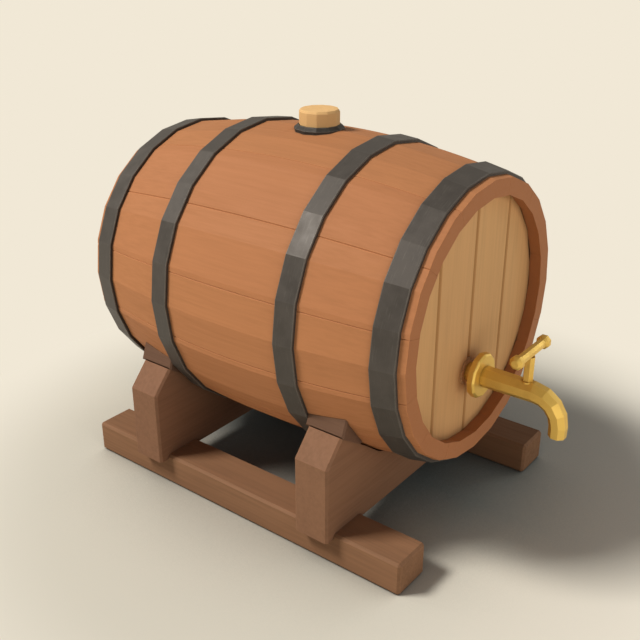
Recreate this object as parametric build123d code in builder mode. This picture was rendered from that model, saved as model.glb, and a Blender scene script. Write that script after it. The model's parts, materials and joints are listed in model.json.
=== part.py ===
from build123d import *
import os
from math import atan, copysign, cos, degrees, radians, sin, sqrt, tan

os.makedirs("parts", exist_ok=True)

# A small liquor keg lies on a wooden cradle. Its axis runs along Y and the tap faces -Y.
# Z is up, the floor is Z = 0, and the origin is at the middle of the whole thing's footprint.
# "Left" is the -X side, as seen by someone who stands in front of the tap.

# Turns in degrees
quarter_turn = 90.0
half_turn = 180.0
full_turn = 360.0

# Keg body
keg_length = 337.0
bilge_radius = 135.6  # to the corners of the many-sided body, at its middle
stave_bow = 18.2  # that the corners come in by, from the middle to each end
keg_sides = 24
floor_gap = 54.1  # under the keg's lowest corner
stave_thickness = 14.0
left_staves = 7  # from the top round the left side to the bottom, with the bung stave
right_staves = 7
bung_stave_reach = 13.0  # degrees that the bung stave goes past the top, to the right
seam_bevel = 0.6
hair = 0.01  # a length that counts as none
wood_fit = 0.1  # between pieces of wood that are joined for good

# Heads, the two round ends
head_recess = 12.0
head_thickness = 10.0
head_tongue = 5.0  # thickness of the bevelled rim where it sits in the groove
croze_depth = 4.0
head_board_width = 54.0
head_groove_width = 4.8  # of the groove along each seam, on both faces
head_groove_depth = 1.6
head_dowel_radius = 2.5
head_dowel_length = 22.0
head_dowel_heights = (45.0, -14.0)  # above the keg's axis

# Hoops, flat iron bands that lean in with the staves
hoop_thickness = 2.9
bilge_hoop_width = 18.4
bilge_hoop_share = 0.405  # of the way from the keg's middle to its end
chime_hoop_width = 20.5
chime_hoop_inset = 6.45  # from the keg's end to the band
hoop_bevel = 0.5
hoop_fit = 0.05
lap_thickness = 1.0
lap_length = 27.0
lap_angle = 262.5  # on the right side, a little under the widest place
rivet_radius = 1.6
rivet_head_radius = 3.0
rivet_head_height = 1.2
rivet_head_angle = 30.0  # that the side of a rivet's head leans in
rivet_pitch = 14.0
rivet_relief = 0.25  # from the rivet's foot to the stave

# Bung and the iron bush that it closes
bung_sides = 12
bung_radius = 17.6
bung_stand = 16.8  # of its top above the staves
bung_shoulder_drop = 0.6  # below the staves' outside
bung_reach = 22.9  # of its tip below the staves' outside
bung_tip_radius = 15.4
bung_neck_radius = 17.0
bung_bevel_height = 2.0
bung_bevel_width = 1.3
bung_clearance = 0.3
bush_flange_radius = 22.0
bush_flange_stand = 1.2  # of the flange's outer edge above the staves
bush_stand = 4.0
bush_top_radius = 18.6
bush_sleeve_radius = 19.4
bush_fit = 0.05

# Tap
tap_drop = 48.0  # below the keg's axis
collar_sides = 12
collar_radius = 19.6
collar_thickness = 6.4
collar_standoff = 10.0  # from the head to the back of the collar
collar_bevel = 1.6
pipe_sides = 8
pipe_radius = 9.3  # to the corners, at the collar
bend_start_radius = 8.8  # to the corners, where the bend starts
bend_end_radius = 7.6  # to the corners, where the bend ends
bend_steps = 4
outlet_radius = 7.3  # to the corners, at the open end
stem_reach = 37.7  # from the collar's front to the stem
bend_reach = 44.1  # from the collar's front to the start of the bend
bend_radius = 23.2
outlet_length = 9.2
waterway_radius = 3.2
spout_bore_radius = 5.0
shank_seat_radius = 8.4
shank_tip_radius = 7.0
shank_length = 40.0  # behind the collar
cork_radius = 12.0
cork_stand = 1.5  # the cork stands out of the head by this much on both faces
metal_fit = 0.05

# Plug of the tap and its handle
plug_radius = 5.0
plug_clearance = 0.05
plug_bottom = 6.6  # below the pipe's axis
plug_stand = 0.3  # above the pipe's top flat
port_radius = 2.6
seal_radius = 0.6
seal_height = 4.2  # above the pipe's axis
seal_fit = 0.02
stop_radius = 1.0
stop_depth = 1.2  # that the stop screw reaches into the plug's slot
stop_drop = 4.7  # below the pipe's axis
stop_clearance = 0.15
stop_slot_width = 0.35
stop_slot_depth = 0.5
stem_sides = 6
stem_radius = 4.3
bar_height = 33.7  # of the crossbar's axis above the pipe's axis
bar_sides = 8
bar_radius = 4.1
bar_tenon_radius = 1.8
bar_tenon_length = 4.5
knob_spread = 23.6  # from the stem's axis to the middle of a knob
knob_sides = 8
knob_radius = 5.9
knob_length = 9.0
knob_bevel = 2.5

# Cradle
skid_overrun = 17.5  # that a skid is longer than the keg
skid_width = 37.9
skid_inset = 9.3  # from a saddle's side to the skid's
skid_height = 30.3
skid_bevel = 2.2
housing_depth = 4.6  # of the notch in the skid that takes the saddle
saddle_from_hoop = 28.3  # from the middle of a bilge hoop to the middle of the saddle
saddle_thickness = 33.5
saddle_tip_angle = 121.87  # from the top
saddle_tip_reach = 8.75  # from the keg's flats out to the tip
saddle_step = 18.7  # from the tip out to the saddle's side
saddle_shoulder_drop = 20.9  # from the tip down to where the slope meets the side
saddle_bevel = 2.0
saddle_gap = 1.5  # between the saddle's hollow and the keg
seat_angle = 34.0  # that the chock's seat falls towards the keg
seat_run = 40.0  # along the seat from the tip to inside the hollow
chock_overhang = 2.3  # past each face of the saddle, before the shift
chock_shift = 1.0  # towards the back, off the saddle's middle
chock_angle = 127.5  # from the top to where the chock touches, the middle of a flat
chock_climb = 24.5  # up the keg from the touching place
chock_fall = 14.0  # down the keg from the touching place
chock_bite = 8.9  # that the rough wedge reaches into the keg at its top, before it is trimmed
chock_tail_bite = 7.0  # that it reaches in at its lower end
chock_seat_length = 29.0
chock_bevel_reach = 8.0  # from the tip towards the keg, edges within this are bevelled
chock_bevel = 1.5
chock_gap = 0.3
screw_radius = 2.2
screw_head_radius = 4.5
screw_head_height = 2.6
screw_sink = 3.0
screw_slot_length = 6.3
screw_slot_width = 1.1
screw_length = 40.0
screw_spread = 9.0  # from the saddle's middle
screw_fit = 0.05
chock_dowel_radius = 2.0
chock_dowel_length = 9.0
chock_dowel_spread = 9.0
chock_dowel_run = 8.0  # along the seat from the tip

# What follows from the sizes above
side_angle = full_turn / keg_sides
flat_share = cos(radians(side_angle / 2))  # distance to a flat as a share of that to a corner
half_length = keg_length / 2
beyond = 2 * bilge_radius  # a length that passes right through the keg
axis_height = bilge_radius + floor_gap
bow_rise = stave_bow * flat_share
bow_radius = (half_length**2 + bow_rise**2) / (2 * bow_rise)
head_face = half_length - head_recess
head_middle = head_face - head_thickness / 2
collar_back = head_face + collar_standoff
collar_front = collar_back + collar_thickness
stem_station = collar_front + stem_reach
bend_station = collar_front + bend_reach
outlet_station = bend_station + bend_radius
eighth_share = cos(radians(half_turn / pipe_sides))
spout_front = outlet_station + bend_end_radius * eighth_share
skid_length = keg_length + skid_overrun
middle = (spout_front - skid_length / 2) / 2  # Y of the keg's middle
tap_height = axis_height - tap_drop

keg_middle = Vector(0, middle, axis_height)
keg_axis = Axis(keg_middle, (0, 1, 0))
bung_axis = Axis(keg_middle, (0, 0, 1))
tap_axis = Axis((0, middle, tap_height), (0, 1, 0))
stem_foot = (0, middle - stem_station, tap_height)
stem_axis = Axis(stem_foot, (0, 0, 1))


def flat_distance(station, depth=0.0):
    """Distance from the keg's axis to a flat, at a station and a depth below the outside."""
    return sqrt((bow_radius - depth) ** 2 - station**2) - bow_radius + bilge_radius * flat_share


def outward(angle):
    """Direction away from the keg's axis, at an angle from the top towards the left."""
    return Vector(-sin(radians(angle)), 0, cos(radians(angle)))


def lengthwise(angle):
    """Plane through the keg's axis: local x runs along the keg and local y points outward."""
    turn = radians(angle)
    return Plane(origin=keg_middle, x_dir=(0, 1, 0), z_dir=(cos(turn), 0, sin(turn)))


def across(station, height=axis_height):
    """Upright plane that faces the tap's end: local x is X and local y is up."""
    return Plane(origin=(0, middle + station, height), x_dir=(1, 0, 0), z_dir=(0, -1, 0))


def on_hoop(station, width, angle, rise=0.0):
    """Plane on a hoop's outside: local x runs across the band and the normal points outward."""
    near = flat_distance(abs(station) - width / 2)
    far = flat_distance(abs(station) + width / 2)
    lean = copysign(atan((near - far) / width), station)
    across_band = Vector(0, cos(lean), 0) - outward(angle) * sin(lean)
    normal = outward(angle) * cos(lean) + Vector(0, sin(lean), 0)
    foot = keg_middle + Vector(0, station, 0) + outward(angle) * ((near + far) / 2 + hoop_thickness)
    return Plane(origin=foot + normal * rise, x_dir=across_band, z_dir=normal)


def level(height, station=0.0):
    """Level plane over a station of the keg."""
    return Plane(origin=(0, middle + station, height), x_dir=(1, 0, 0), z_dir=(0, 0, 1))


def sideways(x, station, height):
    """Upright plane that faces +X: local x is Y and local y is up."""
    return Plane(origin=(x, middle + station, height), x_dir=(0, 1, 0), z_dir=(1, 0, 0))


def about_stem(angle):
    """Upright plane out from the stem's axis: local x is the radius and local y is up."""
    turn = radians(angle)
    return Plane(origin=stem_foot, x_dir=(cos(turn), sin(turn), 0), z_dir=(sin(turn), -cos(turn), 0))


def rim(angle, radius):
    """Point of a cross-section at an angle from the top towards the left."""
    return (-radius * sin(radians(angle)), radius * cos(radians(angle)))


def keg_form(depth, reach):
    """Barrel shape with flat sides that bow along the keg, at a depth below its outside."""
    with BuildPart() as form:
        for i in range(keg_sides // 2):
            with BuildSketch(lengthwise(side_angle * (i + 0.5))):
                with BuildLine():
                    rise = flat_distance(reach, depth)
                    crest = flat_distance(0, depth)
                    upper = ThreePointArc((-reach, rise), (0, crest), (reach, rise))
                    lower = ThreePointArc((reach, -rise), (0, -crest), (-reach, -rise))
                    Line(upper @ 1, lower @ 0)
                    Line(lower @ 1, upper @ 0)
                make_face()
            extrude(amount=beyond, both=True, mode=Mode.INTERSECT if i else Mode.ADD)
    return form.part


def sector(start, end):
    """Slice of space about the keg's axis, between two angles."""
    with BuildPart() as slice_block:
        with BuildSketch(across(0)):
            with BuildLine():
                half_way = (start + end) / 2
                arc = [rim(angle, beyond) for angle in (start, half_way, end)]
                Polyline((0, 0), *arc, close=True)
            make_face()
        extrude(amount=keg_length, both=True)
    return slice_block.part


def runs_along(edge, seam):
    """Whether an edge of a stave is its outer edge on a seam."""
    reach = edge @ 0.5 - keg_middle
    off_seam = abs(reach.dot(outward(seam + quarter_turn)))
    return off_seam < hair and reach.dot(outward(seam)) > bilge_radius - stave_thickness / 2


def finish(builder, name):
    """Label a finished piece and write it."""
    builder.part.label = name
    export_step(builder.part, f"parts/{name}.step")


# Places that follow from the keg's form
keg_top = flat_distance(0)
bung_top = keg_top + bung_stand
bung_shoulder = keg_top - bung_shoulder_drop
bung_tip = keg_top - bung_reach
bush_flange_edge = keg_top + bush_flange_stand
bush_top = keg_top + bush_stand
bilge_hoop_place = half_length * bilge_hoop_share
chime_hoop_place = half_length - chime_hoop_inset - chime_hoop_width / 2
saddle_place = bilge_hoop_place + saddle_from_hoop
side_flat = flat_distance(saddle_place - saddle_thickness / 2)
saddle_tip = outward(saddle_tip_angle) * (side_flat + saddle_tip_reach)
saddle_outer = saddle_step - saddle_tip.X
skid_outer = saddle_outer - skid_inset
skid_middle = skid_outer - skid_width / 2

# Shell of the keg with the two grooves that hold the heads, and the hole for the bush
wall = flat_distance(head_middle, stave_thickness)
groove_radius = wall + croze_depth
keg_outside = keg_form(0, half_length)
with BuildPart() as shell:
    add(keg_outside)
    add(keg_form(stave_thickness, half_length + stave_thickness), mode=Mode.SUBTRACT)
    with BuildSketch(lengthwise(0)):
        with BuildLine():
            mouth = head_thickness / 2 + wood_fit
            floor = head_tongue / 2 + wood_fit
            Polyline(
                (head_middle - mouth, wall),
                (head_middle - floor, groove_radius),
                (head_middle + floor, groove_radius),
                (head_middle + mouth, wall),
                (head_middle + mouth, wall - croze_depth),
                (head_middle - mouth, wall - croze_depth),
                close=True,
            )
        make_face()
        mirror(about=Plane.YZ)
    revolve(axis=keg_axis, mode=Mode.SUBTRACT)
    with BuildSketch(level(axis_height)):
        Circle(bush_sleeve_radius + bush_fit)
    extrude(amount=beyond, mode=Mode.SUBTRACT)

# Staves: the left ones are equal, and the right ones share what the bung stave leaves
left_pitch = half_turn / left_staves
right_pitch = (half_turn - bung_stave_reach) / right_staves
seams = [-bung_stave_reach]
seams += [left_pitch * (i + 1) for i in range(left_staves)]
seams += [half_turn + right_pitch * (i + 1) for i in range(right_staves)]
stave_names = ["bung_stave"]
stave_names += [f"left_stave_{i + 1}" for i in range(left_staves - 1)]
stave_names += [f"right_stave_{i + 1}" for i in range(right_staves)]
for name, start, end in zip(stave_names, seams, seams[1:]):
    with BuildPart() as stave:
        add(shell.part)
        add(sector(start, end), mode=Mode.INTERSECT)
        long_edges = stave.edges().filter_by(lambda edge: edge.length > keg_length - head_recess)
        seam_edges = [edge for edge in long_edges for seam in (start, end) if runs_along(edge, seam)]
        chamfer(seam_edges, seam_bevel)
    finish(stave, name)

# Heads: four boards each, held edge to edge by dowels and by the groove in the staves
board_seams = [-head_board_width, 0, head_board_width]
board_limits = [-bilge_radius, *board_seams, bilge_radius]
ends = (("front", -1), ("back", 1))
for end_name, side in ends:
    with BuildPart() as disc:
        with BuildSketch(lengthwise(0)):
            with BuildLine():
                half = head_thickness / 2
                rim_half = head_tongue / 2
                at = side * head_middle
                Polyline(
                    (at - half, 0),
                    (at - half, wall - wood_fit),
                    (at - rim_half, groove_radius - wood_fit),
                    (at + rim_half, groove_radius - wood_fit),
                    (at + half, wall - wood_fit),
                    (at + half, 0),
                    close=True,
                )
            make_face()
        revolve(axis=keg_axis)
        if side < 0:
            with BuildSketch(across(-head_middle, tap_height)):
                Circle(cork_radius + wood_fit)
            extrude(amount=head_thickness, both=True, mode=Mode.SUBTRACT)
        with BuildSketch(level(axis_height)):
            for seam_x in board_seams:
                for face in (side * head_face, side * (head_face - head_thickness)):
                    with BuildLine():
                        groove_floor = face + copysign(head_groove_depth, side * head_middle - face)
                        Polyline(
                            (seam_x - head_groove_width / 2, face),
                            (seam_x, groove_floor),
                            (seam_x + head_groove_width / 2, face),
                            close=True,
                        )
                    make_face()
        extrude(amount=beyond, both=True, mode=Mode.SUBTRACT)
        for seam_x in board_seams:
            for height in head_dowel_heights:
                with BuildSketch(sideways(seam_x, side * head_middle, axis_height + height)):
                    Circle(head_dowel_radius + wood_fit)
                extrude(amount=head_dowel_length / 2 + wood_fit, both=True, mode=Mode.SUBTRACT)
    for number, (start, end) in enumerate(zip(board_limits, board_limits[1:]), 1):
        with BuildPart() as board:
            add(disc.part)
            with BuildSketch(across(side * head_middle)):
                with Locations(((start + end) / 2, 0)):
                    Rectangle(end - start, beyond)
            extrude(amount=head_thickness, both=True, mode=Mode.INTERSECT)
        finish(board, f"{end_name}_head_board_{number}")
    with BuildPart() as dowels:
        for seam_x in board_seams:
            for height in head_dowel_heights:
                with BuildSketch(sideways(seam_x, side * head_middle, axis_height + height)):
                    Circle(head_dowel_radius)
                extrude(amount=head_dowel_length / 2, both=True)
    finish(dowels, f"{end_name}_head_dowels")

# Hoops: bands that narrow towards the keg's end with the staves, each with a riveted lap
hoop_bed = keg_form(-hoop_fit, half_length)
hoops = (
    ("front_chime_hoop", -chime_hoop_place, chime_hoop_width),
    ("front_bilge_hoop", -bilge_hoop_place, bilge_hoop_width),
    ("back_bilge_hoop", bilge_hoop_place, bilge_hoop_width),
    ("back_chime_hoop", chime_hoop_place, chime_hoop_width),
)
for name, station, width in hoops:
    with BuildPart() as hoop:
        for edge_station in (station - width / 2, station + width / 2):
            with BuildSketch(across(edge_station)):
                edge_flat = flat_distance(edge_station) + hoop_thickness
                RegularPolygon(edge_flat / flat_share, keg_sides, rotation=quarter_turn)
        loft(ruled=True)
        chamfer(hoop.edges().group_by(Axis.Y)[0] + hoop.edges().group_by(Axis.Y)[-1], hoop_bevel)
        with BuildSketch(on_hoop(station, width, lap_angle)):
            Rectangle(width - 2 * hoop_bevel, lap_length)
        extrude(amount=lap_thickness)
        add(hoop_bed, mode=Mode.SUBTRACT)
        with BuildSketch(on_hoop(station, width, lap_angle)):
            with GridLocations(0, rivet_pitch, 1, 2):
                Circle(rivet_radius + metal_fit)
        extrude(amount=lap_length, both=True, mode=Mode.SUBTRACT)
    finish(hoop, name)

with BuildPart() as rivets:
    for _, station, width in hoops:
        with BuildSketch(on_hoop(station, width, lap_angle, lap_thickness)):
            with GridLocations(0, rivet_pitch, 1, 2):
                Circle(rivet_head_radius)
        extrude(amount=rivet_head_height, taper=rivet_head_angle)
        with BuildSketch(on_hoop(station, width, lap_angle, lap_thickness)):
            with GridLocations(0, rivet_pitch, 1, 2):
                Circle(rivet_radius)
        extrude(amount=-(lap_thickness + hoop_thickness - rivet_relief))
finish(rivets, "hoop_rivets")

# Iron bush: a many-sided flange that is shaped to the staves, and a sleeve through them
with BuildPart() as bush:
    with BuildSketch(level(axis_height + keg_top - stave_thickness)):
        RegularPolygon(bush_flange_radius, bung_sides)
    extrude(amount=stave_thickness + bush_flange_stand)
    with BuildSketch(level(axis_height + bush_flange_edge)):
        RegularPolygon(bush_flange_radius, bung_sides)
    with BuildSketch(level(axis_height + bush_top)):
        RegularPolygon(bush_top_radius, bung_sides)
    loft(ruled=True)
    add(keg_form(-bush_fit, half_length), mode=Mode.SUBTRACT)
    with BuildSketch(level(axis_height + keg_top - stave_thickness)):
        Circle(bush_sleeve_radius)
    extrude(amount=stave_thickness + bush_flange_stand)
    with BuildSketch(lengthwise(0)):
        with BuildLine():
            taper = (bung_neck_radius - bung_tip_radius) / (bung_shoulder - bung_tip)
            seat = bung_shoulder - bung_clearance
            deep = bung_tip - bung_clearance
            Polyline(
                (0, bush_top + bung_clearance),
                (bung_radius + bung_clearance, bush_top + bung_clearance),
                (bung_radius + bung_clearance, seat),
                (bung_neck_radius + bung_clearance, seat),
                (bung_neck_radius + bung_clearance - taper * (seat - deep), deep),
                (0, deep),
                close=True,
            )
        make_face()
    revolve(axis=bung_axis, mode=Mode.SUBTRACT)
finish(bush, "bung_bush")

# Bung: a twelve-sided grip with a bevelled top on a round tapered plug
with BuildPart() as bung:
    with BuildSketch(level(axis_height + bung_shoulder)):
        RegularPolygon(bung_radius, bung_sides)
    extrude(amount=bung_top - bung_bevel_height - bung_shoulder)
    with BuildSketch(level(axis_height + bung_top - bung_bevel_height)):
        RegularPolygon(bung_radius, bung_sides)
    with BuildSketch(level(axis_height + bung_top)):
        RegularPolygon(bung_radius - bung_bevel_width, bung_sides)
    loft(ruled=True)
    with BuildSketch(lengthwise(0)):
        with BuildLine():
            Polyline(
                (0, bung_shoulder),
                (bung_neck_radius, bung_shoulder),
                (bung_tip_radius, bung_tip),
                (0, bung_tip),
                close=True,
            )
        make_face()
    revolve(axis=bung_axis)
finish(bung, "bung")

# Tap barrel: tapered shank, eight-sided pipe, bend and outlet in one casting
pipe_turn = half_turn / pipe_sides
pipe_flat = bend_start_radius * eighth_share
bend_centre = Vector(0, middle - bend_station, tap_height - bend_radius)
bend_axis = Axis(bend_centre, (1, 0, 0))


def in_bend(turn):
    """Plane across the pipe, a turn in degrees into the bend, with the normal pointing on."""
    sine = sin(radians(turn))
    cosine = cos(radians(turn))
    foot = bend_centre + Vector(0, -sine, cosine) * bend_radius
    return Plane(origin=foot, x_dir=(1, 0, 0), z_dir=(0, -cosine, -sine))


outlet_plane = in_bend(quarter_turn)
stem_plane = level(tap_height, -stem_station)
with BuildPart() as barrel:
    with BuildSketch(across(-collar_front, tap_height)):
        RegularPolygon(pipe_radius, pipe_sides, rotation=pipe_turn)
    for step in range(bend_steps + 1):
        share = step / bend_steps
        with BuildSketch(in_bend(quarter_turn * share)):
            narrowing = (bend_start_radius - bend_end_radius) * share
            RegularPolygon(bend_start_radius - narrowing, pipe_sides, rotation=pipe_turn)
    with BuildSketch(outlet_plane.offset(outlet_length)):
        RegularPolygon(outlet_radius, pipe_sides, rotation=pipe_turn)
    loft(ruled=True)
    with BuildSketch(across(-collar_front, tap_height)):
        Circle(shank_seat_radius)
    extrude(amount=-collar_thickness)
    with BuildSketch(across(-collar_back, tap_height)):
        Circle(shank_seat_radius)
    with BuildSketch(across(-collar_back + shank_length, tap_height)):
        Circle(shank_tip_radius)
    loft()
    with BuildSketch(across(-collar_back + shank_length, tap_height)):
        Circle(waterway_radius)
    extrude(amount=shank_length + collar_thickness + bend_reach, mode=Mode.SUBTRACT)
    with BuildSketch(across(-bend_station, tap_height)):
        Circle(spout_bore_radius)
    revolve(axis=bend_axis, revolution_arc=quarter_turn, mode=Mode.SUBTRACT)
    with BuildSketch(outlet_plane):
        Circle(spout_bore_radius)
    extrude(amount=outlet_length, mode=Mode.SUBTRACT)
    with BuildSketch(stem_plane.offset(-plug_bottom - plug_clearance)):
        Circle(plug_radius + plug_clearance)
    extrude(amount=plug_bottom + 2 * pipe_radius, mode=Mode.SUBTRACT)
    with BuildSketch(sideways(0, -stem_station, tap_height - stop_drop)):
        Circle(stop_radius + metal_fit)
    extrude(amount=2 * pipe_radius, mode=Mode.SUBTRACT)
finish(barrel, "tap_barrel")

# Collar that the tap is driven home by
with BuildPart() as collar:
    with BuildSketch(across(-collar_back, tap_height)):
        RegularPolygon(collar_radius, collar_sides)
        Circle(shank_seat_radius + metal_fit, mode=Mode.SUBTRACT)
    extrude(amount=collar_thickness)
    front_rim = collar.edges().group_by(Axis.Y)[0].filter_by(GeomType.LINE)
    chamfer(front_rim, collar_bevel)
finish(collar, "tap_collar")

# Cork bush in the head, which grips the tapered shank
cork_front = head_face + cork_stand
cork_back = head_face - head_thickness - cork_stand
shank_taper = (shank_seat_radius - shank_tip_radius) / shank_length
with BuildPart() as cork:
    with BuildSketch(sideways(0, 0, tap_height)):
        with BuildLine():
            front_hole = shank_seat_radius - shank_taper * (collar_back - cork_front) + metal_fit
            back_hole = shank_seat_radius - shank_taper * (collar_back - cork_back) + metal_fit
            Polyline(
                (-cork_front, front_hole),
                (-cork_front, cork_radius),
                (-cork_back, cork_radius),
                (-cork_back, back_hole),
                close=True,
            )
        make_face()
    revolve(axis=tap_axis)
finish(cork, "tap_cork")

# Plug with its port, seal groove and stop slot, and the six-sided stem above it
plug_top = pipe_flat + plug_stand
bar_flat = bar_radius * cos(radians(half_turn / bar_sides))
stop_half_angle = degrees(atan((stop_radius + stop_clearance) / (plug_radius - stop_depth)))
with BuildPart() as plug:
    with BuildSketch(stem_plane.offset(-plug_bottom)):
        Circle(plug_radius)
    extrude(amount=plug_bottom + plug_top)
    with BuildSketch(stem_plane.offset(plug_top)):
        RegularPolygon(stem_radius, stem_sides, rotation=half_turn / stem_sides)
    extrude(amount=bar_height - bar_flat - plug_top)
    with BuildSketch(stem_plane.offset(bar_height - bar_flat)):
        Circle(bar_tenon_radius)
    extrude(amount=bar_tenon_length)
    with BuildSketch(sideways(0, -stem_station, tap_height)):
        Circle(port_radius)
    extrude(amount=2 * plug_radius, both=True, mode=Mode.SUBTRACT)
    with BuildSketch(about_stem(0)):
        with Locations((plug_radius, seal_height)):
            Rectangle(4 * seal_radius, 2 * (seal_radius + seal_fit))
    revolve(axis=stem_axis, mode=Mode.SUBTRACT)
    with BuildSketch(about_stem(-quarter_turn - stop_half_angle)):
        with Locations((plug_radius, -stop_drop)):
            Rectangle(2 * (stop_depth + stop_clearance), 2 * (stop_radius + stop_clearance))
    revolve(axis=stem_axis, revolution_arc=quarter_turn + 2 * stop_half_angle, mode=Mode.SUBTRACT)
finish(plug, "tap_plug")

# Rubber ring that seals the plug above its port
with BuildPart() as seal:
    with BuildSketch(about_stem(0)):
        with Locations((plug_radius - seal_radius, seal_height)):
            Circle(seal_radius)
    revolve(axis=stem_axis)
finish(seal, "plug_seal")

# Grub screw whose point runs in the plug's slot: it keeps the plug in and stops it at both ends
stop_tip = plug_radius - stop_depth
stop_end = pipe_flat - (stop_drop + stop_radius - pipe_flat * tan(radians(pipe_turn)))
with BuildPart() as stop:
    with BuildSketch(sideways(stop_tip, -stem_station, tap_height - stop_drop)):
        Circle(stop_radius)
    extrude(amount=stop_end - stop_tip)
    with BuildSketch(sideways(stop_end, -stem_station, tap_height - stop_drop)):
        Rectangle(2 * stop_radius, stop_slot_width)
    extrude(amount=-stop_slot_depth, mode=Mode.SUBTRACT)
finish(stop, "stop_screw")

# Crossbar with a tenon at each end, and its two knobs
bar_end = knob_spread - knob_length / 2
with BuildPart() as crossbar:
    with BuildSketch(sideways(0, -stem_station, tap_height + bar_height)):
        RegularPolygon(bar_radius, bar_sides, rotation=half_turn / bar_sides)
    extrude(amount=bar_end, both=True)
    with BuildSketch(sideways(0, -stem_station, tap_height + bar_height)):
        Circle(bar_tenon_radius)
    extrude(amount=bar_end + bar_tenon_length, both=True)
    with BuildSketch(stem_plane.offset(bar_height - bar_flat)):
        Circle(bar_tenon_radius + metal_fit)
    extrude(amount=bar_tenon_length + metal_fit, mode=Mode.SUBTRACT)
finish(crossbar, "crossbar")

for name, side in (("left_knob", -1), ("right_knob", 1)):
    with BuildPart() as knob:
        with BuildSketch(sideways(side * knob_spread, -stem_station, tap_height + bar_height)):
            RegularPolygon(knob_radius, knob_sides, rotation=half_turn / knob_sides)
        extrude(amount=knob_length / 2, both=True)
        chamfer(knob.edges().group_by(Axis.X)[0] + knob.edges().group_by(Axis.X)[-1], knob_bevel)
        with BuildSketch(sideways(side * bar_end, -stem_station, tap_height + bar_height)):
            Circle(bar_tenon_radius + metal_fit)
        extrude(amount=side * (bar_tenon_length + metal_fit), mode=Mode.SUBTRACT)
    finish(knob, name)

# Cradle screws: up through the skids into the saddles, heads sunk in the skids' undersides
screw_places = [
    (side * skid_middle, end * saddle_place + shift)
    for side in (-1, 1)
    for end in (-1, 1)
    for shift in (-screw_spread, screw_spread)
]
with BuildPart() as screws:
    with BuildSketch(level(screw_sink)):
        with Locations(*screw_places):
            Circle(screw_head_radius)
    extrude(amount=screw_head_height)
    with BuildSketch(level(screw_sink + screw_head_height)):
        with Locations(*screw_places):
            Circle(screw_radius)
    extrude(amount=screw_length)
    with BuildSketch(level(screw_sink)):
        with Locations(*screw_places):
            Rectangle(screw_slot_length, screw_slot_width)
    extrude(amount=screw_head_height / 2, mode=Mode.SUBTRACT)
finish(screws, "cradle_screws")

# Skids with a notch for each saddle
notch_half = saddle_thickness / 2 + wood_fit
for name, side in (("left_skid", -1), ("right_skid", 1)):
    with BuildPart() as skid:
        with BuildSketch(level(0)):
            with Locations((side * skid_middle, 0)):
                Rectangle(skid_width, skid_length)
        extrude(amount=skid_height)
        chamfer(skid.edges(), skid_bevel)
        with BuildSketch(level(skid_height)):
            with Locations((0, -saddle_place), (0, saddle_place)):
                Rectangle(2 * saddle_outer, 2 * notch_half)
        extrude(amount=-housing_depth, mode=Mode.SUBTRACT)
        with BuildSketch(level(0)):
            with Locations(*screw_places):
                Circle(screw_radius + screw_fit)
        extrude(amount=skid_height, mode=Mode.SUBTRACT)
        with BuildSketch(level(0)):
            with Locations(*screw_places):
                Circle(screw_head_radius + screw_fit)
        extrude(amount=screw_sink + screw_head_height + screw_fit, mode=Mode.SUBTRACT)
    finish(skid, name)

# Section of the left chock and its seat: an upright plane across the keg, measured from its axis
seat_along = (cos(radians(seat_angle)), -sin(radians(seat_angle)))
seat_normal = (sin(radians(seat_angle)), cos(radians(seat_angle)))


def on_seat(run, lift=0.0):
    """Point beside the saddle's tip: a run down the seat towards the keg, and a lift off it."""
    return (
        saddle_tip.X + run * seat_along[0] + lift * seat_normal[0],
        saddle_tip.Z + run * seat_along[1] + lift * seat_normal[1],
    )


def beside_keg(climb, reach):
    """Point up the keg's left side from where the chock touches, and out from the keg's flat."""
    place = outward(chock_angle) * (side_flat + reach) + outward(chock_angle - quarter_turn) * climb
    return (place.X, place.Z)


def on_hand(side, point):
    """The left side's point, or its mirror image for the right side."""
    return (-side * point[0], point[1])


def dowel_seat(side, station):
    """Plane on a chock's seat where the dowels cross it, with the normal pointing out of the seat."""
    x, z = on_hand(side, on_seat(chock_dowel_run))
    across_seat, up_seat = on_hand(side, seat_normal)
    foot = keg_middle + Vector(x, station, z)
    return Plane(origin=foot, x_dir=(0, 1, 0), z_dir=(across_seat, 0, up_seat))


# Saddles, hollowed to the keg, with a sloping seat for a chock at each tip
saddle_bed = keg_form(-saddle_gap, half_length)
foot = skid_height - housing_depth - axis_height
shoulder = saddle_tip.Z - saddle_shoulder_drop
half_profile = [(-saddle_outer, foot), (-saddle_outer, shoulder), on_seat(0), on_seat(seat_run)]
profile = half_profile + [on_hand(1, point) for point in reversed(half_profile)]
for end_name, end in ends:
    with BuildPart() as saddle:
        with BuildSketch(across(end * saddle_place)):
            with BuildLine():
                Polyline(*profile, close=True)
            make_face()
        extrude(amount=saddle_thickness / 2, both=True)
        bevel_from = saddle_bevel - saddle_tip.X
        outer_edges = saddle.edges().filter_by(lambda edge: abs(edge.center().X) > bevel_from)
        chamfer(outer_edges.filter_by(Axis.Y, reverse=True), saddle_bevel)
        add(saddle_bed, mode=Mode.SUBTRACT)
        with BuildSketch(level(0)):
            with Locations(*screw_places):
                Circle(screw_radius + screw_fit)
        extrude(amount=screw_sink + screw_head_height + screw_length + screw_fit, mode=Mode.SUBTRACT)
        for side in (-1, 1):
            with BuildSketch(dowel_seat(side, end * saddle_place)):
                with GridLocations(2 * chock_dowel_spread, 0, 2, 1):
                    Circle(chock_dowel_radius + wood_fit)
            extrude(amount=chock_dowel_length / 2 + wood_fit, both=True, mode=Mode.SUBTRACT)
    finish(saddle, f"{end_name}_saddle")

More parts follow.
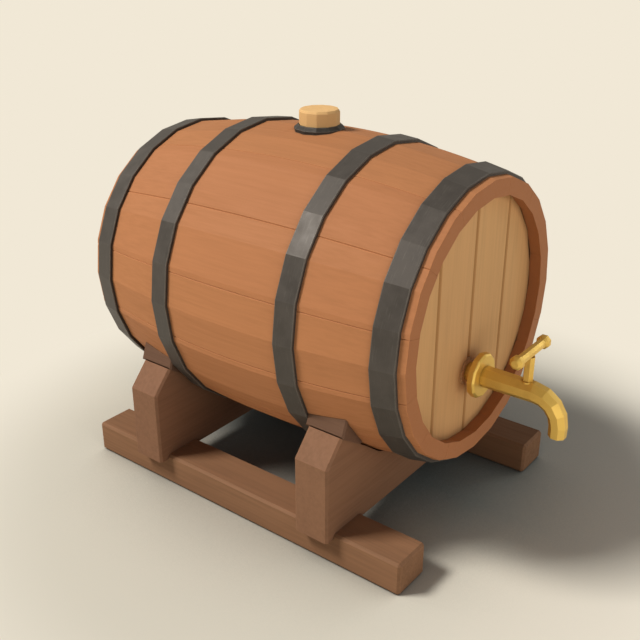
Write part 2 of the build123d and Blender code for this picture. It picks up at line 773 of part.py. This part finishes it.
# Chocks: wedges on the saddles' tips, trimmed to the keg's side and clear of the hoops
with BuildPart() as chock_bed:
    add(keg_form(-chock_gap, half_length))
    for side in (-1, 1):
        with BuildSketch(across(side * bilge_hoop_place)):
            RegularPolygon(bilge_radius + hoop_thickness, keg_sides, rotation=quarter_turn)
        extrude(amount=bilge_hoop_width / 2 + chock_gap, both=True)
section = [
    on_seat(0),
    beside_keg(chock_climb, -chock_bite),
    beside_keg(-chock_fall, -chock_tail_bite),
    on_seat(chock_seat_length),
]
for end_name, end in ends:
    for hand_name, side in (("left", -1), ("right", 1)):
        with BuildPart() as chock:
            with BuildSketch(across(end * saddle_place + chock_shift)):
                with BuildLine():
                    Polyline(*[on_hand(side, point) for point in section], close=True)
                make_face()
            extrude(amount=saddle_thickness / 2 + chock_overhang, both=True)
            bevel_from = abs(saddle_tip.X) - chock_bevel_reach
            outer = chock.edges().filter_by(lambda edge: abs(edge.center().X) > bevel_from)
            chamfer(outer, chock_bevel)
            add(chock_bed.part, mode=Mode.SUBTRACT)
            with BuildSketch(dowel_seat(side, end * saddle_place)):
                with GridLocations(2 * chock_dowel_spread, 0, 2, 1):
                    Circle(chock_dowel_radius + wood_fit)
            extrude(amount=chock_dowel_length / 2 + wood_fit, both=True, mode=Mode.SUBTRACT)
        finish(chock, f"{end_name}_{hand_name}_chock")

with BuildPart() as chock_dowels:
    for end in (-1, 1):
        for side in (-1, 1):
            with BuildSketch(dowel_seat(side, end * saddle_place)):
                with GridLocations(2 * chock_dowel_spread, 0, 2, 1):
                    Circle(chock_dowel_radius)
            extrude(amount=chock_dowel_length / 2, both=True)
finish(chock_dowels, "chock_dowels")
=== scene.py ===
# %% [markdown]
# # A small liquor keg on its cradle
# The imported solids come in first, as a frame that is already in metres and already in place. Their
# shapes are right, so this script dresses them: it gives every surface its finish, eases the sharp
# edges of the pieces that show them, and sets the light and the camera.

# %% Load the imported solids
import json
from math import radians

import bmesh
import bpy
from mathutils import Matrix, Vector


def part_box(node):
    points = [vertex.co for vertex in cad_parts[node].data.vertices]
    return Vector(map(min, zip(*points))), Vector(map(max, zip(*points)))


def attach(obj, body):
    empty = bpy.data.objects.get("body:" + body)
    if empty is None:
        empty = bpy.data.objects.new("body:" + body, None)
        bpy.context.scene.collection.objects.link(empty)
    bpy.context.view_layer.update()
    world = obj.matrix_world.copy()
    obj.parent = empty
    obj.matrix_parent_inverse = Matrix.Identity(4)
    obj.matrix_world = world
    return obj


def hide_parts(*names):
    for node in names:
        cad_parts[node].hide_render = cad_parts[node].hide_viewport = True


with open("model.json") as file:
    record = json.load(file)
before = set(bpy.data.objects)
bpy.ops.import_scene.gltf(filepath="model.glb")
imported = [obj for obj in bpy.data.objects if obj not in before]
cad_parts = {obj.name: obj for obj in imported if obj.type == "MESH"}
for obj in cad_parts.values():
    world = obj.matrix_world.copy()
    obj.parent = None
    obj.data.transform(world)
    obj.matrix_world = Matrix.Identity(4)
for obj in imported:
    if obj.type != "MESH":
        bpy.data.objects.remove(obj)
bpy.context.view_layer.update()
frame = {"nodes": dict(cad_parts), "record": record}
nodes = frame["nodes"]

# %% [markdown]
# The keg lies along Y with its tap at the -Y end. Most places that the later cells need follow from
# the boxes of a few solids, so they are measured here once and not typed in.

# %% Measure the keg
shell_low, shell_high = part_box("left_stave_1")
keg_middle_y = (shell_low.y + shell_high.y) / 2
hoop_low, hoop_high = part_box("front_bilge_hoop")
keg_axis_z = (hoop_low.z + hoop_high.z) / 2
print("keg's middle at y", round(keg_middle_y, 4), "and its axis at z", round(keg_axis_z, 4))

# %% [markdown]
# The photograph was taken from the tap's end and the left, a little above the keg. A 50 mm lens from
# about 0.8 m off gives the same lines, so the near hoop looks clearly larger than the far one.

# %% Camera
camera_from_keg = (-0.5989, -0.4641, 0.2956)
camera_looks_down = 24.18
camera_turns_right = 52.26
lens = bpy.data.cameras.new("photo_camera")
lens.lens = 50
lens.sensor_width = 36
camera = bpy.data.objects.new("photo_camera", lens)
camera.location = Vector((0, keg_middle_y, keg_axis_z)) + Vector(camera_from_keg)
camera.rotation_euler = (radians(90 - camera_looks_down), 0, radians(-camera_turns_right))
bpy.context.scene.collection.objects.link(camera)
bpy.context.scene.camera = camera
print("camera at", [round(value, 4) for value in camera.location])

# %% [markdown]
# Colours are written as they are seen on a screen, from 0 to 255. Shaders work in linear light, so one
# helper turns the first into the second, and another does so for a tone that is made darker or paler.

# %% Helpers for colours
def seen(red, green, blue):
    """Linear colour of a colour as it is seen on a screen."""
    shares = [value / 255 for value in (red, green, blue)]
    return tuple(s / 12.92 if s < 0.04045 else ((s + 0.055) / 1.055) ** 2.4 for s in shares) + (1.0,)


def toned(tone, *parts):
    """Linear colour of a screen tone, taken to one part, or to a part of red, green and blue each."""
    parts = parts * 3 if len(parts) == 1 else parts
    return seen(*[min(255, value * part) for value, part in zip(tone, parts)])


print("half grey on a screen is", round(seen(128, 128, 128)[0], 3), "in linear light")

# %% [markdown]
# A finish is a tree of shader nodes. One helper adds a node and fills its sockets, with a number, a
# colour or another node's output, and a few more stand for the nodes that come back most, so that each
# finish below reads as a short recipe. The Mix node has sockets for every kind of value; those for
# colours are numbers 6 and 7, and 2 on its way out.

# %% Helpers for shader nodes
def fill(tree, node, sockets):
    """Set or link a node's sockets, which are given by name or by number."""
    for key, value in sockets.items():
        if isinstance(value, bpy.types.NodeSocket):
            tree.links.new(value, node.inputs[key])
        else:
            node.inputs[key].default_value = value


def put(tree, kind, sockets=None, **settings):
    """Add a shader node, set its properties, and fill its sockets."""
    made = tree.nodes.new("ShaderNode" + kind)
    for name, value in settings.items():
        setattr(made, name, value)
    fill(tree, made, sockets or {})
    return made


def blended(tree, share, first, second):
    """Colour output of a mix of two colours."""
    return put(tree, "Mix", {0: share, 6: first, 7: second}, data_type="RGBA").outputs[2]


def spread(tree, value, low, high, new_low=0.0, new_high=1.0):
    """Output that moves a value from one range to another, held at the ends."""
    sockets = {"Value": value, "From Min": low, "From Max": high, "To Min": new_low, "To Max": new_high}
    return put(tree, "MapRange", sockets).outputs["Result"]


def times(tree, first, second):
    """Output of a product."""
    return put(tree, "Math", {0: first, 1: second}, operation="MULTIPLY").outputs[0]


def larger(tree, first, second):
    """Output with the larger of two values."""
    return put(tree, "Math", {0: first, 1: second}, operation="MAXIMUM").outputs[0]


def noise(tree, place, scale, detail, rough=0.5, twist=0.0):
    """Output of a noise with so many waves in a metre."""
    sockets = {"Vector": place, "Scale": scale, "Detail": detail, "Roughness": rough, "Distortion": twist}
    return put(tree, "TexNoise", sockets).outputs["Fac"]


def dented(tree, height, strength, depth):
    """Normal output of a surface that a height dents to a depth."""
    return put(tree, "Bump", {"Height": height, "Strength": strength, "Distance": depth}).outputs["Normal"]


def place_on_part(tree):
    """Output with the place in the shared frame, in metres."""
    return put(tree, "TexCoord").outputs["Object"]


def facing(tree):
    """Output with the direction that the surface faces."""
    return put(tree, "TexCoord").outputs["Normal"]


def along(tree, vector, axis):
    """Output with a vector's part along X, Y or Z."""
    return put(tree, "SeparateXYZ", {"Vector": vector}).outputs[axis]


def finish_tree(name):
    """New material, its node tree and its shader."""
    material = bpy.data.materials.new(name)
    material.use_nodes = True
    tree = material.node_tree
    return material, tree, tree.nodes["Principled BSDF"]


# %% [markdown]
# Two marks come back in the wood, the iron and the brass. Outer edges rub pale or bright: where the Bevel node
# turns the normal, the surface is near an edge. The corners between pieces are darker where the Ambient
# Occlusion node finds something close by: painted shade in the wood and the iron, and tarnish in the brass.

# %% Helpers for rubbed edges and darker corners
def rubbed(tree, width):
    """Share from 0 to 1 that is high within a width of an outer edge."""
    rounded = put(tree, "Bevel", {"Radius": width}, samples=4).outputs["Normal"]
    true = put(tree, "NewGeometry").outputs["Normal"]
    turn = put(tree, "VectorMath", {0: rounded, 1: true}, operation="DOT_PRODUCT").outputs["Value"]
    return spread(tree, turn, 0.995, 0.90)


def tucked(tree, reach, low=0.35, high=0.9):
    """Share from 0 to 1 that is high in the corners between pieces."""
    open_sky = put(tree, "AmbientOcclusion", {"Distance": reach}, samples=8).outputs["AO"]
    return spread(tree, open_sky, low, high, 1.0, 0.0)


# %% [markdown]
# Wood is never one tone all over. The helpers here find the places where these woods differ: painted shade
# darkens the groove along each seam of the heads and the staves' inner side, as in the head's recess, the
# staves' end grain has drunk more oil, the bung's upright sides are darker than its top, and painted shade
# darkens the cradle where the keg hangs over it. Each helper gives a share from 0 to 1 that follows the shape,
# so it looks right from every side.

# %% Where the woods are marked
board_low, board_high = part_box("front_head_board_2")
board_width = board_high.x - board_low.x
groove_half = 0.0012
groove_end = 0.0028
inner_start = -0.03
inner_full = -0.08
keg_reach = 0.12


def near_seam(tree):
    """High in the groove along each seam of the heads, where they get painted shade."""
    sideways = along(tree, place_on_part(tree), "X")
    away = put(tree, "Math", {0: sideways, 1: board_width / 2}, operation="PINGPONG").outputs[0]
    return spread(tree, away, groove_half, groove_end, 1.0, 0.0)


def inner_side(tree):
    """High on faces that look towards the keg's axis, where the staves get painted shade, as in the head's
    recess.
    """
    on_axis = (0, 0, keg_axis_z)
    from_axis = put(tree, "VectorMath", {0: place_on_part(tree), 1: on_axis}, operation="SUBTRACT").outputs[0]
    outward = put(tree, "VectorMath", {0: from_axis, 1: (1, 0, 1)}, operation="MULTIPLY").outputs[0]
    turn = put(tree, "VectorMath", {0: outward, 1: facing(tree)}, operation="DOT_PRODUCT").outputs["Value"]
    return spread(tree, turn, inner_start, inner_full)


def end_grain(tree):
    """High on faces across the keg's length."""
    lengthwise = put(tree, "Math", {0: along(tree, facing(tree), "Y")}, operation="ABSOLUTE").outputs[0]
    return spread(tree, lengthwise, 0.70, 0.95)


def upright_side(tree):
    """High on upright faces."""
    return spread(tree, along(tree, facing(tree), "Z"), 0.2, 0.8, 1.0, 0.0)


def shade_under_keg(tree):
    """High where the keg hangs over the surface, where the cradle gets painted shade."""
    return tucked(tree, keg_reach, 0.15, 0.55)


print("a head board is", round(board_width, 4), "m wide")

# %% [markdown]
# Wood is the main finish. Its fibres run one way, so a noise that is squeezed across the fibres and
# drawn out along them gives streaks; where the saw cut across them the same noise gives the speckle of
# end grain, with no second texture. A broad noise lifts and lowers the tone over a board, and Object
# Info's random number makes each board a little different from its neighbour. The marks come last, each
# as its own tone over the place that its helper finds.

# %% Wood
fibre_width = 0.0014
fibre_stretch = 0.035
board_waves = 9.0
corner_shade_reach = 0.008
rubbed_part = 1.12
corner_shade_part = 0.55
wood_roughness = 0.62
pore_depth = 0.0003


def wood(name, tone, fibre_axis, streak, board, rub=0.0012, corner_shade=0.75, marks=()):
    """Wood of a tone, with its fibres along one axis (0, 1 or 2), painted shade in its corners, and marks."""
    material, tree, shader = finish_tree(name)
    luck = put(tree, "ObjectInfo").outputs["Random"]
    offset = put(tree, "CombineXYZ", {"X": luck, "Y": times(tree, luck, 7.0), "Z": times(tree, luck, 3.0)})
    moved = put(
        tree, "VectorMath", {0: place_on_part(tree), 1: offset.outputs[0]}, operation="ADD"
    ).outputs[0]
    squeeze = [1.0, 1.0, 1.0]
    squeeze[fibre_axis] = fibre_stretch
    drawn = put(tree, "Mapping", {"Vector": moved, "Scale": squeeze}).outputs[0]
    fine = noise(tree, drawn, 1 / (2 * fibre_width), 5.0, rough=0.62)
    coarse = noise(tree, drawn, 1 / (14 * fibre_width), 3.0, twist=0.6)
    broad = noise(tree, moved, board_waves, 2.0)

    streaks = blended(tree, spread(tree, fine, 0.33, 0.62), toned(tone, 1 - streak), toned(tone, 1))
    band_share = times(tree, spread(tree, coarse, 0.46, 0.70), 0.55)
    bands = blended(tree, band_share, streaks, toned(tone, 1 + streak * 0.45))
    board_tone = spread(tree, broad, 0.3, 0.7, 1 - board * 0.6, 1 + board * 0.6)
    lifted = put(tree, "HueSaturation", {"Color": bands, "Value": board_tone}).outputs["Color"]
    own_tone = spread(tree, luck, 0, 1, 1 - board, 1 + board)
    own_hue = spread(tree, luck, 0, 1, 0.499, 0.501)
    each = put(tree, "HueSaturation", {"Color": lifted, "Value": own_tone, "Hue": own_hue}).outputs["Color"]

    patchy = times(tree, rubbed(tree, rub), spread(tree, coarse, 0.35, 0.6, 0.25, 0.85))
    worn = blended(tree, patchy, each, toned(tone, rubbed_part))
    # Painted shade: the wood is darker in the corners between pieces.
    corner_shade_share = times(tree, tucked(tree, corner_shade_reach), corner_shade)
    final = blended(tree, corner_shade_share, worn, toned(tone, corner_shade_part))
    for where, parts in marks:
        final = blended(tree, where(tree), final, toned(tone, *parts))
    gloss = spread(tree, fine, 0.3, 0.7, wood_roughness + 0.10, wood_roughness - 0.05)
    pores = dented(tree, fine, 0.35, pore_depth)
    fill(tree, shader, {"Base Color": final, "Roughness": gloss, "Specular IOR Level": 0.12, "Normal": pores})
    return material


# The marks on the staves' inner side, in the heads' seam grooves and on the skids and saddles under the keg are
# painted shade.
stave_marks = ((inner_side, (0.91, 0.91, 0.91)), (end_grain, (0.94, 0.93, 0.93)))
head_marks = ((near_seam, (0.83, 0.79, 0.73)),)
bung_marks = ((upright_side, (0.90, 0.90, 0.90)),)
skid_marks = ((shade_under_keg, (0.96, 0.96, 0.96)),)
saddle_marks = ((shade_under_keg, (0.70, 0.70, 0.70)),)

stave_wood = wood("stave_wood", (188, 126, 83), 1, streak=0.04, board=0.012, corner_shade=0.3, marks=stave_marks)
head_wood = wood("head_wood", (218, 169, 114), 2, streak=0.04, board=0.01, corner_shade=0.4, marks=head_marks)
bung_wood = wood("bung_wood", (246, 197, 133), 2, streak=0.05, board=0.01, rub=0.0008, marks=bung_marks)
skid_wood = wood("skid_wood", (143, 104, 75), 1, streak=0.09, board=0.02, corner_shade=0.35, marks=skid_marks)
saddle_wood = wood("saddle_wood", (141, 102, 76), 0, streak=0.06, board=0.02, corner_shade=0.4, marks=saddle_marks)
chock_wood = wood("chock_wood", (112, 83, 65), 1, streak=0.08, board=0.03)
dowel_wood = wood("dowel_wood", (186, 148, 104), 0, streak=0.10, board=0.06)
print("nodes in the wood of the staves:", len(stave_wood.node_tree.nodes))

# %% [markdown]
# The hoops are flat iron, blackened and then rubbed with oil. The scale on such iron is cloudy, so a
# slow noise shifts its tone and its gloss, fine scratches run round the hoop, and small specks dent it.

# %% Blackened iron
cloud_waves = 70.0
speck_waves = 900.0
scratch_waves = 1400.0
scratch_stretch = 0.06
iron_edge = 0.0009
iron_corner = 0.005
scratch_tone = (128, 122, 113)
bare_iron_tone = (158, 150, 138)
iron_corner_shade_tone = (38, 30, 24)


def iron(name, tone, rough=0.48, metal=0.34):
    """Blackened iron with cloudy scale, fine scratches and bright edges."""
    material, tree, shader = finish_tree(name)
    place = place_on_part(tree)
    cloud = noise(tree, place, cloud_waves, 6.0, rough=0.6)
    speck = noise(tree, place, speck_waves, 3.0)
    squeeze = (scratch_stretch, 1.0, scratch_stretch)
    round_hoop = put(tree, "Mapping", {"Vector": place, "Scale": squeeze}).outputs[0]
    scratch = noise(tree, round_hoop, scratch_waves, 2.0)
    cloudy = blended(tree, spread(tree, cloud, 0.35, 0.65), toned(tone, 0.90), toned(tone, 1))
    scratch_share = times(tree, spread(tree, scratch, 0.60, 0.78), 0.25)
    scratched = blended(tree, scratch_share, cloudy, seen(*scratch_tone))
    worn = blended(tree, times(tree, rubbed(tree, iron_edge), 0.55), scratched, seen(*bare_iron_tone))
    # Painted shade: the iron is darker in the corners between pieces.
    dust_and_shade = blended(tree, times(tree, tucked(tree, iron_corner), 0.6), worn, seen(*iron_corner_shade_tone))
    gloss = spread(tree, cloud, 0.3, 0.7, rough - 0.08, rough + 0.10)
    specks = dented(tree, speck, 0.25, 0.00015)
    fill(tree, shader, {"Base Color": dust_and_shade, "Metallic": metal, "Roughness": gloss, "Normal": specks})
    fill(tree, shader, {"Specular IOR Level": 0.2})
    return material


hoop_iron = iron("hoop_iron", (86, 80, 74))
rivet_iron = iron("rivet_iron", (82, 78, 72))
bush_iron = iron("bush_iron", (66, 62, 57))
screw_steel = iron("screw_steel", (142, 142, 143), rough=0.36, metal=0.9)
print("nodes in the iron of the hoops:", len(hoop_iron.node_tree.nodes))

# %% [markdown]
# The tap is cast brass that was filed to flats and polished by hand. It stays bright where fingers
# pass and browns where they don't, so the tarnish follows the corners and a slow noise. The gloss
# changes with it: a tarnished patch is rougher.

# %% Brass
tarnish_waves = 55.0
file_waves = 1100.0
brass_edge = 0.0006
brass_corner = 0.004
brass_metal = 0.74
brass_tone = (233, 194, 99)
tarnish_tone = (196, 150, 70)
fingered_tone = (250, 206, 112)
brass_corner_tone = (96, 58, 20)


def brass(name):
    """Hand-polished brass with tarnish in its corners."""
    material, tree, shader = finish_tree(name)
    place = place_on_part(tree)
    cloud = noise(tree, place, tarnish_waves, 5.0)
    file_marks = noise(tree, place, file_waves, 3.0)
    tarnish_share = times(tree, spread(tree, cloud, 0.52, 0.78), 0.35)
    aged = blended(tree, tarnish_share, seen(*brass_tone), seen(*tarnish_tone))
    bright = blended(tree, times(tree, rubbed(tree, brass_edge), 0.5), aged, seen(*fingered_tone))
    final = blended(tree, times(tree, tucked(tree, brass_corner), 0.5), bright, seen(*brass_corner_tone))
    gloss = spread(tree, cloud, 0.35, 0.75, 0.42, 0.56)
    filed = dented(tree, file_marks, 0.12, 0.0001)
    fill(tree, shader, {"Base Color": final, "Metallic": brass_metal, "Roughness": gloss, "Normal": filed})
    return material


tap_brass = brass("tap_brass")
print("nodes in the brass:", len(tap_brass.node_tree.nodes))

# %% [markdown]
# Cork is bark: pale crumbs with dark pores between them. A Voronoi texture gives the crumbs and the
# noise the pores. The plug's sealing ring is plain black rubber with a dusty bloom.

# %% Cork and rubber
crumb_waves = 620.0
pore_waves = 420.0
bloom_waves = 500.0
dark_crumb_tone = (186, 142, 98)
pale_crumb_tone = (208, 164, 116)
pore_tone = (140, 100, 64)
rubber_tone = (24, 24, 24)
bloom_tone = (52, 50, 48)


def bark_cork(name):
    """Pressed cork with crumbs and pores."""
    material, tree, shader = finish_tree(name)
    place = place_on_part(tree)
    crumb = put(tree, "TexVoronoi", {"Vector": place, "Scale": crumb_waves}).outputs["Color"]
    tint = put(tree, "SeparateColor", {"Color": crumb}).outputs[0]
    pore = noise(tree, place, pore_waves, 4.0)
    crumbs = blended(tree, tint, seen(*dark_crumb_tone), seen(*pale_crumb_tone))
    final = blended(tree, spread(tree, pore, 0.58, 0.68), crumbs, seen(*pore_tone))
    fill(tree, shader, {"Base Color": final, "Roughness": 0.85, "Normal": dented(tree, pore, 0.4, 0.0003)})
    return material


def ring_rubber(name):
    """Black rubber with a dusty bloom."""
    material, tree, shader = finish_tree(name)
    bloom = noise(tree, place_on_part(tree), bloom_waves, 4.0)
    dust_and_shade = blended(tree, spread(tree, bloom, 0.4, 0.7), seen(*rubber_tone), seen(*bloom_tone))
    fill(tree, shader, {"Base Color": dust_and_shade, "Roughness": 0.6})
    return material


cork = bark_cork("cork")
seal_rubber = ring_rubber("seal_rubber")
print("nodes in the cork:", len(cork.node_tree.nodes), "and in the rubber:", len(seal_rubber.node_tree.nodes))

# %% [markdown]
# Each solid keeps the slot that its maker gave it, and every slot now has a finish. The finishes go
# onto the solids' own material slots, which leaves their shapes alone.

# %% Put the finishes on the solids
finishes = {
    "stave_wood": stave_wood,
    "head_wood": head_wood,
    "dowel_wood": dowel_wood,
    "hoop_iron": hoop_iron,
    "rivet_iron": rivet_iron,
    "bush_iron": bush_iron,
    "bung_wood": bung_wood,
    "tap_brass": tap_brass,
    "cork": cork,
    "seal_rubber": seal_rubber,
    "screw_steel": screw_steel,
    "skid_wood": skid_wood,
    "saddle_wood": saddle_wood,
    "chock_wood": chock_wood,
}
slot_of = {entry["node"]: entry["material_slot"] for entry in frame["record"]["subparts"]}
bodies = frame["record"]["behaviour"]["bodies"]
body_of = {name: body for body, members in bodies.items() for name in members}
for name, solid in nodes.items():
    solid.data.materials.clear()
    solid.data.materials.append(finishes[slot_of[name]])
print("dressed", len(nodes), "solids with", len(finishes), "finishes")

# %% [markdown]
# No real edge is a razor. A worked edge is eased with sandpaper or a file, and the narrow curve that is
# left catches the light as a thin bright line. The solids' edges are sharp, so the pieces that show such
# a line are made again from the solid's own faces: flat neighbours are joined, and then every corner
# sharper than a limit is bevelled. The new piece stands for the solid in the pictures. The flats of the
# hoops, the staves and the tap stay flats, because every edge that turns more than the crisp angle is
# marked sharp. A stave is eased only across its ends, so that the seams stay as tight as a cooper's.

# %% Helper that eases the edges of a solid
weld_distance = 1e-6
flat_angle = 0.4
corner_angle = 24.0
crisp_angle = 13.0
lengthwise_share = 0.7


def eased(name, width):
    """Copy of a solid with its corners rounded by a width, which stands for it."""
    form = bmesh.new()
    form.from_mesh(nodes[name].data)
    bmesh.ops.remove_doubles(form, verts=form.verts, dist=weld_distance)
    bmesh.ops.dissolve_limit(form, angle_limit=radians(flat_angle), verts=form.verts, edges=form.edges)
    sharp = [edge for edge in form.edges if edge.is_manifold and edge.calc_face_angle() > radians(corner_angle)]
    if slot_of[name] == "stave_wood":
        lines = {edge: (edge.verts[1].co - edge.verts[0].co).normalized() for edge in sharp}
        sharp = [edge for edge in sharp if abs(lines[edge].y) < lengthwise_share]
    bmesh.ops.bevel(form, geom=sharp, offset=width, segments=2, profile=0.5, affect="EDGES", clamp_overlap=True)
    low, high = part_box(name)
    for corner in form.verts:
        corner.co = [min(max(place, least), most) for place, least, most in zip(corner.co, low, high)]
    for face in form.faces:
        face.smooth = True
    mesh = bpy.data.meshes.new("eased_" + name)
    form.to_mesh(mesh)
    form.free()
    mesh.set_sharp_from_angle(angle=radians(crisp_angle))
    piece = bpy.data.objects.new("eased_" + name, mesh)
    bpy.context.scene.collection.objects.link(piece)
    mesh.materials.append(finishes[slot_of[name]])
    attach(piece, body_of[name])
    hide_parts(name)
    return piece


# %% [markdown]
# The widths are those of the maker's tools. A plane takes most off the cradle's timber, sandpaper less
# off the bung and the staves' ends, and a fine file least off the small brass.

# %% Ease the edges of the pieces that show them
easing = (
    (0.0005, [name for name in nodes if slot_of[name] == "stave_wood"]),
    (0.0003, [name for name in nodes if slot_of[name] == "hoop_iron"]),
    (0.0004, ["bung_bush"]),
    (0.0003, ["tap_barrel"]),
    (0.0002, ["tap_plug"]),
    (0.0009, ["left_skid", "right_skid"]),
    (0.0008, ["front_saddle", "back_saddle"]),
    (0.0007, ["front_left_chock", "front_right_chock", "back_left_chock", "back_right_chock"]),
    (0.0006, ["bung"]),
    (0.0005, ["tap_collar"]),
    (0.0002, ["crossbar", "left_knob", "right_knob"]),
)
for width, names in easing:
    for name in names:
        piece = eased(name, width)
        print(name, "->", len(piece.data.polygons), "faces")

# %% [markdown]
# The keg stands on a pale studio floor, one very large square, which isn't a part of the object.

# %% Floor
floor_half = 30.0
floor_mesh = bpy.data.meshes.new("studio_floor")
floor_corners = [(floor_half * x, floor_half * y, 0) for x, y in ((-1, -1), (1, -1), (1, 1), (-1, 1))]
floor_mesh.from_pydata(floor_corners, [], [(0, 1, 2, 3)])
studio_floor = bpy.data.objects.new("studio_floor", floor_mesh)
bpy.context.scene.collection.objects.link(studio_floor)
print("floor:", 2 * floor_half, "m wide")

# %% [markdown]
# Near the keg the floor is a plain matt surface that takes the shadow, with painted light and shade in its
# colour: a painted pool of light makes it a little paler on the tap's side, a cool painted shade tints it
# beside the keg where its shadow falls, because the wood would throw too much of its own warm light there, and
# painted shade makes it darker close under the keg. Further off it turns into an even glow that only the camera
# and shiny things see, so that the background is one soft colour and adds no light to the keg.

# %% Finish of the floor
far_floor_tone = seen(241, 232, 214)
floor_tone = seen(222, 216, 199)
tap_side_light_tone = seen(250, 242, 225)
cool_shade_tone = seen(176, 192, 188)
floor_shade_tone = seen(80, 76, 71)
cool_shade_reach = 0.25
floor_shade_reach = 0.22
glow_start = 0.27
glow_full = 0.44

floor_finish, tree, shader = finish_tree("studio_floor")
floor_place = place_on_part(tree)
# Painted light: the floor is paler towards the tap's side.
tap_side_light_share = spread(tree, along(tree, floor_place, "Y"), -0.12, -0.34)
plain_tone = blended(tree, tap_side_light_share, floor_tone, tap_side_light_tone)
# Painted shade: the floor is cooler beside the keg, on its shadow's side.
shadow_side = spread(tree, along(tree, floor_place, "X"), -0.05, 0.02)
cool_shade_share = times(tree, tucked(tree, cool_shade_reach, 0.35, 0.90), shadow_side)
cool_shaded_tone = blended(tree, cool_shade_share, plain_tone, cool_shade_tone)
# Painted shade: the floor is darker close under the keg.
floor_shade_share = times(tree, tucked(tree, floor_shade_reach, 0.15, 0.78), 0.88)
final_tone = blended(tree, floor_shade_share, cool_shaded_tone, floor_shade_tone)
fill(tree, shader, {"Base Color": final_tone, "Roughness": 0.9, "Specular IOR Level": 0.1})

glow = put(tree, "Emission", {"Color": far_floor_tone, "Strength": 1.0})
rays = put(tree, "LightPath").outputs
shown = larger(tree, rays["Is Camera Ray"], rays["Is Glossy Ray"])
away = put(tree, "VectorMath", {0: put(tree, "NewGeometry").outputs["Position"]}, operation="LENGTH")
fade_range = {"Value": away.outputs["Value"], "From Min": glow_start, "From Max": glow_full}
fade = put(tree, "MapRange", fade_range, interpolation_type="SMOOTHSTEP").outputs["Result"]
mix = put(tree, "MixShader", {0: times(tree, fade, shown), 1: shader.outputs[0], 2: glow.outputs[0]})
tree.links.new(mix.outputs[0], tree.nodes["Material Output"].inputs["Surface"])
floor_mesh.materials.append(floor_finish)
print("the floor glows from", glow_start, "to", glow_full, "m")

# %% [markdown]
# Three soft lamps do the work. The strongest one, high behind the left side, makes the long shadow to
# the right. A very wide and weaker one in front of the tap keeps the head bright. A small, cooler one on
# the right puts a glint on the tap's crossbar and lightens the shadow.

# %% Lamps
lamp_distance = 5.0
lamp_target = Vector((0, 0, 0.15))


def lamp(name, direction, width, height, power, colour):
    """Flat lamp that looks at the keg from a direction."""
    light = bpy.data.lights.new(name, "AREA")
    light.shape = "RECTANGLE"
    light.size = width
    light.size_y = height
    light.energy = power
    light.color = colour
    holder = bpy.data.objects.new(name, light)
    toward = Vector(direction).normalized()
    holder.location = lamp_target + toward * lamp_distance
    holder.rotation_euler = toward.to_track_quat("Z", "Y").to_euler()
    bpy.context.scene.collection.objects.link(holder)
    return holder


key_lamp = lamp("key_lamp", (-0.60, 0.63, 1.00), 1.25, 1.25, 233.0, (1.0, 0.985, 0.96))
head_lamp = lamp("head_lamp", (-0.30, -0.90, 0.22), 6.0, 2.4, 72.0, (1.0, 0.98, 0.96))
side_lamp = lamp("side_lamp", (0.85, -0.50, 0.30), 1.6, 1.6, 24.0, (0.94, 0.98, 1.0))
print("lamps:", key_lamp.name, head_lamp.name, side_lamp.name)

# %% [markdown]
# The world fills the rest evenly and weakly. The camera sees it in the colour of the far floor instead,
# and shiny things see a share of that, so that the brass has something pale to reflect.

# %% World
air_tone = seen(240, 242, 248)
air_strength = 0.128
sheen_share = 0.5
world = bpy.data.worlds.new("studio_air")
bpy.context.scene.world = world
world.use_nodes = True
air = world.node_tree
air_light = air.nodes["Background"]
fill(air, air_light, {"Color": air_tone, "Strength": air_strength})
far_floor = put(air, "Background", {"Color": far_floor_tone, "Strength": 1.0})
rays = put(air, "LightPath").outputs
shown = larger(air, rays["Is Camera Ray"], times(air, rays["Is Glossy Ray"], sheen_share))
choice = put(air, "MixShader", {0: shown, 1: air_light.outputs[0], 2: far_floor.outputs[0]})
air.links.new(choice.outputs[0], air.nodes["World Output"].inputs["Surface"])
bpy.context.scene.view_settings.view_transform = "Standard"
print("world:", world.name, "at", air_strength)
